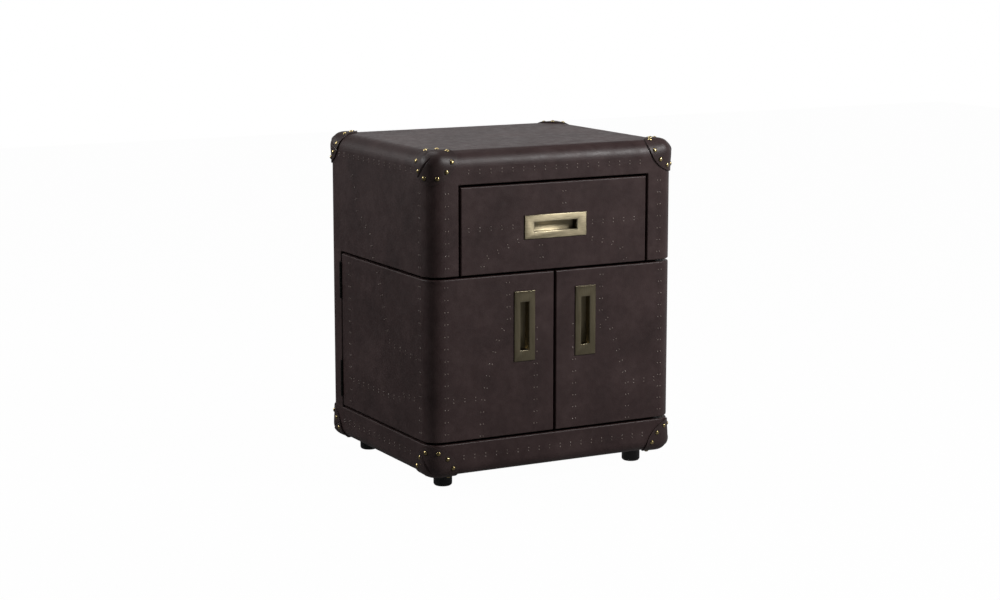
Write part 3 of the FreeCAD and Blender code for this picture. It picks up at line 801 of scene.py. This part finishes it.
@dataclass
class FlushPulls:
    """Brass flush pulls: a bevelled plate with a stepped lip round a deep finger cup."""

    plate_proud: float = 2.0 * MM
    plate_bevel: float = 0.9 * MM
    cup_length: float = 88.0 * MM
    cup_width: float = 18.0 * MM
    cup_wall: float = 1.2 * MM
    lip_width: float = 0.8 * MM
    lip_depth: float = 0.7 * MM
    edge_radius: float = 0.22 * MM

    def extrude(self, rise: float) -> None:
        """Extrudes the selected face along its upright."""
        bpy.ops.mesh.extrude_region_move(TRANSFORM_OT_translate={"value": (0, 0, rise)})

    def resize(self, old: tuple[float, float], new: tuple[float, float]) -> None:
        """Brings the selected face from one length and width to another."""
        bpy.ops.transform.resize(value=(new[0] / old[0], new[1] / old[1], 1), center_override=(0, 0, 0))

    def model(self, length: float, width: float, depth: float) -> bpy.types.Object:
        """Models a pull lying on its back, with the plate's rear at height 0.

        Args:
            length: The plate's length, along X.
            width: The plate's width, along Y.
            depth: From the plate's front to the rear of the cup.

        Returns:
            The pull, as one closed piece.
        """
        deselect_all()
        cup_rear = self.plate_proud - depth
        bpy.ops.mesh.primitive_plane_add(size=1, location=(0, 0, cup_rear))
        pull = bpy.context.object
        cup = (self.cup_length + 2 * self.cup_wall, self.cup_width + 2 * self.cup_wall)
        lip = (self.cup_length + 2 * self.lip_width, self.cup_width + 2 * self.lip_width)
        top = (length - 2 * self.plate_bevel, width - 2 * self.plate_bevel)
        margin = (width - cup[1]) / 4
        bpy.ops.object.mode_set(mode="EDIT")
        bpy.ops.mesh.select_all(action="SELECT")
        self.resize((1, 1), cup)
        self.extrude(-cup_rear)
        self.extrude(0)
        self.resize(cup, (length, width))
        self.extrude(self.plate_proud - self.plate_bevel)
        bpy.ops.mesh.inset(thickness=self.plate_bevel, depth=self.plate_bevel)
        bpy.ops.mesh.inset(thickness=margin, depth=0)
        self.resize((top[0] - 2 * margin, top[1] - 2 * margin), lip)
        self.extrude(-self.lip_depth)
        bpy.ops.mesh.inset(thickness=self.lip_width, depth=0)
        self.extrude(self.lip_depth + self.cup_wall - depth)
        bpy.ops.mesh.select_all(action="SELECT")
        bpy.ops.mesh.normals_make_consistent(inside=False)
        bpy.ops.object.mode_set(mode="OBJECT")
        softened = pull.modifiers.new("softened", "BEVEL")
        softened.width = self.edge_radius
        softened.segments = 2
        softened.limit_method = "ANGLE"
        softened.angle_limit = math.radians(30)
        apply_modifiers(pull)
        smooth(pull, 40)
        apply_place(pull)
        return pull

    def build_one(self, node: str, body: Body, material: bpy.types.Material) -> None:
        """Models one pull to the size of its node and seats it on the node's face."""
        low, high = (Vector(corner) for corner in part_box(node))
        size, middle = high - low, (high + low) / 2
        upright = size.z > size.x
        pull = self.model(max(size.x, size.z), min(size.x, size.z), size.y)
        face_front = Matrix.Rotation(math.radians(90), 4, "X")
        turn = Matrix.Rotation(math.radians(90 if upright else 0), 4, "Z")
        seat = Matrix.Translation((middle.x, low.y + self.plate_proud, middle.z))
        pull.matrix_world = seat @ face_front @ turn
        apply_place(pull)
        bpy.ops.object.mode_set(mode="EDIT")
        bpy.ops.mesh.select_all(action="SELECT")
        bpy.ops.uv.cube_project(cube_size=0.1)
        bpy.ops.object.mode_set(mode="OBJECT")
        pull.name = node + "_flush"
        pull.data.name = pull.name
        dress(pull, material)
        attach(pull, body.value)
        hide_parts(node)
        LOG.info("%s: %d faces", pull.name, len(pull.data.polygons))

    def build(self) -> None:
        """Builds the drawer's pull and the two doors' pulls."""
        flat, upright = PULL_BRASS_FLAT.material(), PULL_BRASS_UPRIGHT.material()
        self.build_one("drawer_pull", Body.DRAWER, flat)
        self.build_one("door_left_pull", Body.DOOR_LEFT, upright)
        self.build_one("door_right_pull", Body.DOOR_RIGHT, upright)


# Seams of the pieced hides


Spot = tuple[float, float]


class Plane(Enum):
    """The faces of the case that carry seams: how their two coordinates run."""

    FRONT = "front"
    REAR = "rear"
    LEFT = "left"
    RIGHT = "right"


@dataclass
class SeamWork:
    """Butt seams between the pieces of hide, pinned by pairs of small studs at an even step."""

    form: CaseForm
    step: float = 22.0 * MM
    pair_gap: float = 6.0 * MM
    stud_radius: float = 1.25 * MM
    stud_height: float = 0.9 * MM
    groove_width: float = 0.5 * MM
    groove_height: float = 0.06 * MM

    def frame_of(self, plane: Plane) -> tuple[Callable[[float, float], Vector], Vector]:
        """The way from a seam's two coordinates to the frame, and the face's outward normal."""
        half_width, half_depth = self.form.half_width, self.form.half_depth
        ways = {
            Plane.FRONT: (lambda x, z: Vector((x, -half_depth, z)), Vector((0, -1, 0))),
            Plane.REAR: (lambda x, z: Vector((x, half_depth, z)), Vector((0, 1, 0))),
            Plane.LEFT: (lambda y, z: Vector((-half_width, y, z)), Vector((-1, 0, 0))),
            Plane.RIGHT: (lambda y, z: Vector((half_width, y, z)), Vector((1, 0, 0))),
        }
        return ways[plane]

    def walk(self, route: Sequence[Spot]) -> Iterable[tuple[Spot, Spot]]:
        """Even steps along a route: pairs of a place and the direction there."""
        left_over = self.step / 2
        for (x0, y0), (x1, y1) in zip(route, route[1:]):
            length = math.hypot(x1 - x0, y1 - y0)
            way = ((x1 - x0) / length, (y1 - y0) / length)
            travelled = left_over
            while travelled < length:
                yield (x0 + way[0] * travelled, y0 + way[1] * travelled), way
                travelled += self.step
            left_over = travelled - length

    def build_groove(self, plane: Plane, routes: Sequence[Sequence[Spot]], name: str) -> bpy.types.Object:
        """Lays a thin dark joint along each route as a run of flat strips."""
        place, out = self.frame_of(plane)
        strips = []
        for route in routes:
            for (x0, y0), (x1, y1) in zip(route, route[1:]):
                start, end = place(x0 * MM, y0 * MM), place(x1 * MM, y1 * MM)
                deselect_all()
                bpy.ops.mesh.primitive_cube_add(size=1)
                strip = bpy.context.object
                way = (end - start).normalized()
                turn = Matrix((way, out.cross(way), out)).transposed().to_4x4()
                size = Matrix.Diagonal(((end - start).length + self.groove_width, self.groove_width,
                                        2 * self.groove_height, 1))
                strip.matrix_world = Matrix.Translation((start + end) / 2) @ turn @ size
                strips.append(strip)
        return join(strips, name)

    def stud_places(self, plane: Plane, routes: Sequence[Sequence[Spot]]) -> Iterable[Matrix]:
        """A pair of places across the seam at every step of every route."""
        place, out = self.frame_of(plane)
        for route in routes:
            scaled = [(x * MM, y * MM) for x, y in route]
            for (x, y), way in self.walk(scaled):
                for side in (-1, 1):
                    shift = side * self.pair_gap / 2
                    spot = place(x - way[1] * shift, y + way[0] * shift)
                    yield Matrix.Translation(spot) @ upright_on(out)

    def build(self, name: str, body: Body, plane: Plane, routes: Sequence[Sequence[Spot]],
              materials: tuple[bpy.types.Material, bpy.types.Material]) -> None:
        """Builds the seams of one panel, in millimetres on its plane."""
        groove = self.build_groove(plane, routes, name + "_joints")
        stud = model_dome(self.stud_radius, self.stud_height, 10, 8, 0)
        studs = copy_to(stud, self.stud_places(plane, routes), name + "_studs")
        for piece, material in zip((groove, studs), materials):
            dress(piece, material)
            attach(piece, body.value)
            LOG.info("%s: %d faces", piece.name, len(piece.data.polygons))


DRAWER_SEAMS = [
    [(18, 540), (18, 491)],
    [(-186, 470), (-66, 471)],
    [(66, 469), (186, 470)],
    [(-66, 449), (-137, 420), (-148, 413), (-148, 394)],
    [(-30, 445), (-28, 394)],
    [(66, 441), (114, 430), (138, 418), (148, 394)],
]
LEFT_DOOR_SEAMS = [
    [(-220, 382), (-220, 96)],
    [(-97, 382), (-95, 302), (-115, 277), (-135, 215), (-149, 153), (-150, 96)],
    [(-217, 166), (-153, 166)],
    [(-40, 296), (-40, 96)],
]
RIGHT_DOOR_SEAMS = [
    [(222, 382), (223, 96)],
    [(97, 382), (96, 302), (113, 284), (129, 240), (149, 178), (154, 160), (154, 96)],
    [(157, 166), (219, 166)],
    [(84, 276), (114, 275)],
    [(40, 296), (41, 96)],
]
FRONT_SEAMS = [
    [(-186, 573), (186, 573)],
    [(-218, 548), (-218, 394)],
    [(218, 548), (218, 394)],
    [(-197, 62), (197, 62)],
]
SIDE_CASE_SEAMS = [
    [(-160, 574), (160, 574)],
    [(-181, 548), (-181, 394)],
    [(106, 548), (77, 473), (25, 439), (12, 394)],
    [(-150, 63), (150, 63)],
]
SIDE_DOOR_SEAMS = [
    [(-180, 382), (-180, 96)],
    [(-1, 382), (-20, 338), (-36, 293), (-52, 253), (-72, 247), (-145, 240), (-177, 240)],
    [(118, 382), (118, 96)],
    [(115, 150), (-49, 150), (-89, 152), (-118, 164), (-177, 164)],
]
REAR_SEAMS = [
    [(-160, 573), (160, 573)],
    [(-190, 545), (-190, 110)],
    [(190, 545), (190, 110)],
    [(-188, 240), (-20, 240), (40, 262), (188, 262)],
    [(-30, 570), (-30, 244)],
    [(-150, 62), (150, 62)],
]


def build_seams(form: CaseForm) -> None:
    """Builds the seams of every panel; the right side mirrors the left one."""
    work = SeamWork(form)
    finishes = (SEAM_LEATHER.material(), STUD_LEATHER_AND_GLINT.material())
    work.build("drawer_seam", Body.DRAWER, Plane.FRONT, DRAWER_SEAMS, finishes)
    work.build("door_left_front_seam", Body.DOOR_LEFT, Plane.FRONT, LEFT_DOOR_SEAMS, finishes)
    work.build("door_right_front_seam", Body.DOOR_RIGHT, Plane.FRONT, RIGHT_DOOR_SEAMS, finishes)
    work.build("door_left_side_seam", Body.DOOR_LEFT, Plane.LEFT, SIDE_DOOR_SEAMS, finishes)
    work.build("door_right_side_seam", Body.DOOR_RIGHT, Plane.RIGHT, SIDE_DOOR_SEAMS, finishes)
    work.build("case_front_seam", Body.CARCASS, Plane.FRONT, FRONT_SEAMS, finishes)
    work.build("case_left_seam", Body.CARCASS, Plane.LEFT, SIDE_CASE_SEAMS, finishes)
    work.build("case_right_seam", Body.CARCASS, Plane.RIGHT, SIDE_CASE_SEAMS, finishes)
    work.build("case_rear_seam", Body.CARCASS, Plane.REAR, REAR_SEAMS, finishes)


# Pieces that keep the frame's shape and only get their finish


@dataclass
class FramePieces:
    """The frame's own nodes, each with the finish of its kind."""

    nodes: dict[str, bpy.types.Object]

    def finish_of(self) -> dict[str, list[str]]:
        """Which nodes take which finish, by words in their names."""
        return {
            "case_leather": ["upper_leather", "rear_leather", "base_leather", "drawer_leather",
                             "door_left_leather", "door_right_leather"],
            "pull_brass_flat": ["drawer_pull"],
            "pull_brass_upright": ["door_left_pull", "door_right_pull"],
            "shelf_wood": ["top_board", "divider_board", "top_rail", "cupboard_floor", "base_bottom_panel",
                           "base_frame"],
            "drawer_wood": ["drawer_side_left", "drawer_side_right", "drawer_bottom"],
            "drawer_wood_across": ["drawer_back"],
            "hinge_steel": ["hinge_case_leaves", "hinge_pins", "hinge_case_screws",
                            "door_left_hinge_leaves", "door_left_hinge_screws",
                            "door_right_hinge_leaves", "door_right_hinge_screws"],
            "runner_steel": ["slide_outer_members", "slide_middle_members", "slide_inner_members",
                             "door_left_strike", "door_right_strike"],
            "foot_plastic": ["feet"],
            "catch_plastic": ["magnet_catches"],
        }

    def build(self) -> None:
        """Dresses every node; what isn't named is a board of dark wood."""
        finishes = [CASE_LEATHER, PULL_BRASS_FLAT, PULL_BRASS_UPRIGHT, SHELF_WOOD, DRAWER_WOOD,
                    DRAWER_WOOD_ACROSS, HINGE_STEEL, RUNNER_STEEL, FOOT_PLASTIC, CATCH_PLASTIC]
        materials = {finish.name: finish.material() for finish in finishes}
        wood = DARK_WOOD.material()
        chosen = {node: materials[name] for name, nodes in self.finish_of().items() for node in nodes}
        for name, obj in self.nodes.items():
            dress(obj, chosen.get(name, wood))
            LOG.info("%s: dressed", name)


# Studio


@dataclass(frozen=True)
class Lamp:
    """A rectangular soft lamp: where it stands, what it looks at, its size and its power."""

    name: str
    place: tuple[float, float, float]
    target: tuple[float, float, float]
    size: tuple[float, float]
    power: float

    def build(self) -> None:
        """Adds the lamp."""
        data = bpy.data.lights.new(self.name, "AREA")
        data.shape = "RECTANGLE"
        data.size, data.size_y = self.size
        data.energy = self.power
        lamp = bpy.data.objects.new(self.name, data)
        lamp.location = self.place
        lamp.rotation_euler = (Vector(self.target) - Vector(self.place)).to_track_quat("-Z", "Y").to_euler()
        bpy.context.collection.objects.link(lamp)


LAMPS = [
    Lamp("key", (1.30, -1.75, 1.75), (0.1, 0, 0.55), (0.7, 0.55), 57.0),
    Lamp("overhead", (-0.2, 0.7, 2.7), (0, 0, 0.4), (1.4, 1.2), 22.0),
    Lamp("left_rear", (-2.1, 1.35, 1.7), (0, 0, 0.45), (0.9, 1.0), 40.0),
]


@dataclass
class Studio:
    """A white floor and backdrop, soft lamps, and the camera at the photograph's viewpoint."""

    camera_place: tuple[float, float, float] = (-1.9438, -3.6268, 1.0154)
    yaw_deg: float = -28.23
    pitch_deg: float = -9.88
    focal_pixels: float = 2208.9
    picture_width: float = 1000.0
    sensor: float = 36.0
    floor_half: float = 6.0
    paper_share: float = 0.985
    flagged_from: tuple[float, float] = (-0.5, 1.2)
    flagged_tone: float = 0.04
    gloss_tone: float = 0.45
    fill: float = 0.08
    surround_spans: tuple[tuple[str, float, float, float, float], ...] = (
        ("Z", 0.12, 0.45, 1.0, 0.04),
        ("Y", -0.3, 0.5, 0.10, 1.0),
        ("X", -0.45, 0.35, 0.12, 1.0),
    )

    def build_camera(self) -> None:
        """Sets the camera that was fitted to the photograph."""
        data = bpy.data.cameras.new("camera")
        data.sensor_width = self.sensor
        data.lens = self.focal_pixels * self.sensor / self.picture_width
        camera = bpy.data.objects.new("camera", data)
        camera.location = self.camera_place
        camera.rotation_euler = (math.radians(90 + self.pitch_deg), 0, math.radians(self.yaw_deg))
        bpy.context.collection.objects.link(camera)
        bpy.context.scene.camera = camera

    def build_floor(self) -> None:
        """A wide pale floor that keeps the object's shadow and shows white to camera and gloss."""
        deselect_all()
        bpy.ops.mesh.primitive_plane_add(size=2 * self.floor_half, location=(0, 0, 0))
        floor = bpy.context.object
        floor.name = "floor"
        n = Nodes("floor_white")
        n.put("Base Color", (0.50, 0.50, 0.50, 1.0))
        n.put("Roughness", 0.95)
        n.put("Specular IOR Level", 0.0)
        split = n.add("ShaderNodeSeparateXYZ")
        n.link(n.place, split.inputs[0])
        in_gloss = n.span(split.outputs["X"], *self.flagged_from, self.flagged_tone, self.gloss_tone)
        path = n.add("ShaderNodeLightPath")
        glossy = n.add("ShaderNodeMath", operation="MULTIPLY")
        n.link(path.outputs["Is Glossy Ray"], glossy.inputs[0])
        n.link(in_gloss, glossy.inputs[1])
        direct = n.add("ShaderNodeMath", operation="MAXIMUM")
        n.link(path.outputs["Is Camera Ray"], direct.inputs[0])
        n.link(path.outputs["Is Transmission Ray"], direct.inputs[1])
        strength = n.add("ShaderNodeMath", operation="MAXIMUM")
        n.link(direct.outputs[0], strength.inputs[0])
        n.link(glossy.outputs[0], strength.inputs[1])
        glow = n.add("ShaderNodeEmission")
        n.link(strength.outputs[0], glow.inputs["Strength"])
        seen = n.add("ShaderNodeMath", operation="MAXIMUM")
        n.link(direct.outputs[0], seen.inputs[0])
        n.link(path.outputs["Is Glossy Ray"], seen.inputs[1])
        blend = n.add("ShaderNodeMixShader")
        n.link(n.span(seen.outputs[0], 0.0, 1.0, 0.0, self.paper_share), blend.inputs[0])
        n.link(n.shader.outputs[0], blend.inputs[1])
        n.link(glow.outputs[0], blend.inputs[2])
        n.link(blend.outputs[0], n.output.inputs["Surface"])
        dress(floor, n.material)
        floor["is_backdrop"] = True

    def build_world(self) -> None:
        """A white surround for camera, gloss and glass, and a dim even fill for everything else."""
        world = bpy.data.worlds.new("surround")
        bpy.context.scene.world = world
        world.use_nodes = True
        tree = world.node_tree
        tree.nodes.clear()
        output = tree.nodes.new("ShaderNodeOutputWorld")
        fill = tree.nodes.new("ShaderNodeBackground")
        fill.inputs["Color"].default_value = (1, 1, 1, 1)
        fill.inputs["Strength"].default_value = self.fill
        mirrored = tree.nodes.new("ShaderNodeBackground")
        tree.links.new(self.surround_tone(tree), mirrored.inputs["Color"])
        paper = tree.nodes.new("ShaderNodeBackground")
        paper.inputs["Color"].default_value = (1, 1, 1, 1)
        path = tree.nodes.new("ShaderNodeLightPath")
        gloss = tree.nodes.new("ShaderNodeMixShader")
        tree.links.new(path.outputs["Is Glossy Ray"], gloss.inputs[0])
        tree.links.new(fill.outputs[0], gloss.inputs[1])
        tree.links.new(mirrored.outputs[0], gloss.inputs[2])
        seen = tree.nodes.new("ShaderNodeMath")
        seen.operation = "MAXIMUM"
        tree.links.new(path.outputs["Is Camera Ray"], seen.inputs[0])
        tree.links.new(path.outputs["Is Transmission Ray"], seen.inputs[1])
        direct = tree.nodes.new("ShaderNodeMixShader")
        tree.links.new(seen.outputs[0], direct.inputs[0])
        tree.links.new(gloss.outputs[0], direct.inputs[1])
        tree.links.new(paper.outputs[0], direct.inputs[2])
        tree.links.new(direct.outputs[0], output.inputs["Surface"])

    def surround_tone(self, tree: bpy.types.NodeTree) -> bpy.types.NodeSocket:
        """What gloss mirrors: white paper low at the back, dark overhead and behind the camera."""
        coordinates = tree.nodes.new("ShaderNodeTexCoord")
        split = tree.nodes.new("ShaderNodeSeparateXYZ")
        tree.links.new(coordinates.outputs["Generated"], split.inputs[0])
        factors = []
        for axis, low, high, at_low, at_high in self.surround_spans:
            part = tree.nodes.new("ShaderNodeMapRange")
            for index, value in zip(range(1, 5), (low, high, at_low, at_high)):
                part.inputs[index].default_value = value
            tree.links.new(split.outputs[axis], part.inputs[0])
            factors.append(part.outputs[0])
        tone = factors[0]
        for factor in factors[1:]:
            product = tree.nodes.new("ShaderNodeMath")
            product.operation = "MULTIPLY"
            tree.links.new(tone, product.inputs[0])
            tree.links.new(factor, product.inputs[1])
            tone = product.outputs[0]
        return tone

    def build(self) -> None:
        """Builds the whole studio."""
        self.build_camera()
        self.build_floor()
        self.build_world()
        for lamp in LAMPS:
            lamp.build()
        bpy.context.scene.view_settings.view_transform = "Standard"


def write_sizes(before: object, after: object) -> None:
    """Turns the frame's box and the dressed model's box into plain lists of numbers, which are not written
    anywhere.
    """
    for bounds in (before, after):
        json.dumps([[float(value) for value in corner] for corner in bounds]) + "\n"


def main() -> None:
    """Builds the studio and every piece, in order."""
    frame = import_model()
    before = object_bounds()
    Studio().build()
    FramePieces(frame["nodes"]).build()
    form = CaseForm()
    CornerCaps(form).build()
    FlushPulls().build()
    build_seams(form)
    write_sizes(before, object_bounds())


if __name__ == "__main__":
    main()
